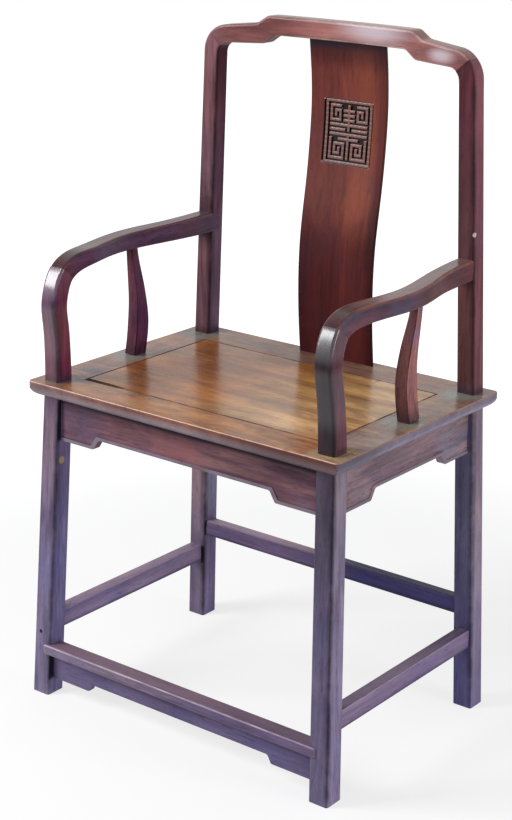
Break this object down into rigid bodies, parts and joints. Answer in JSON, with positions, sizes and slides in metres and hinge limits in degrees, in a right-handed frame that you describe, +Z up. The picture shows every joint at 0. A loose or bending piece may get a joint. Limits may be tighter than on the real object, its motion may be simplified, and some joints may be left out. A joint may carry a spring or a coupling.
{
  "type": "armchair",
  "caption": "Square hardwood armchair with a stepped crest rail, curved splat with carved fret panel, bowed arms on struts, panel seat, shaped aprons and a footrest.",
  "frame": {"origin": "centre of the bounding box's bottom face, on the floor", "axes": "+X right as seen from the front, +Y towards the back, +Z up"},
  "size_m": [0.575, 0.421, 1.037],
  "materials": {
    "post_wood": "satin, dark red-brown, worn",
    "crest_wood": "satin, red-brown, worn",
    "splat_wood": "satin, deep red-brown with streaks",
    "arm_wood": "satin, dark red-brown, worn",
    "seat_frame_wood": "satin, worn brown",
    "panel_wood": "satin, golden brown",
    "apron_wood": "satin, dark purple-brown",
    "stretcher_wood": "satin, dark grey-brown"
  },
  "bodies": {
    "root": {"left_front_post": "post_wood", "right_front_post": "post_wood", "left_rear_post": "post_wood", "right_rear_post": "post_wood", "crest_rail": "crest_wood", "back_splat": "splat_wood", "left_arm": "arm_wood", "right_arm": "arm_wood", "left_arm_strut": "arm_wood", "right_arm_strut": "arm_wood", "seat_front_rail": "seat_frame_wood", "seat_back_rail": "seat_frame_wood", "left_seat_rail": "seat_frame_wood", "right_seat_rail": "seat_frame_wood", "seat_panel": "panel_wood", "left_seat_batten": "panel_wood", "right_seat_batten": "panel_wood", "front_apron": "apron_wood", "left_side_apron": "apron_wood", "right_side_apron": "apron_wood", "back_apron": "apron_wood", "footrest": "stretcher_wood", "footrest_apron": "stretcher_wood", "left_side_stretcher": "stretcher_wood", "right_side_stretcher": "stretcher_wood", "back_stretcher": "stretcher_wood"}
  },
  "joints": []
}
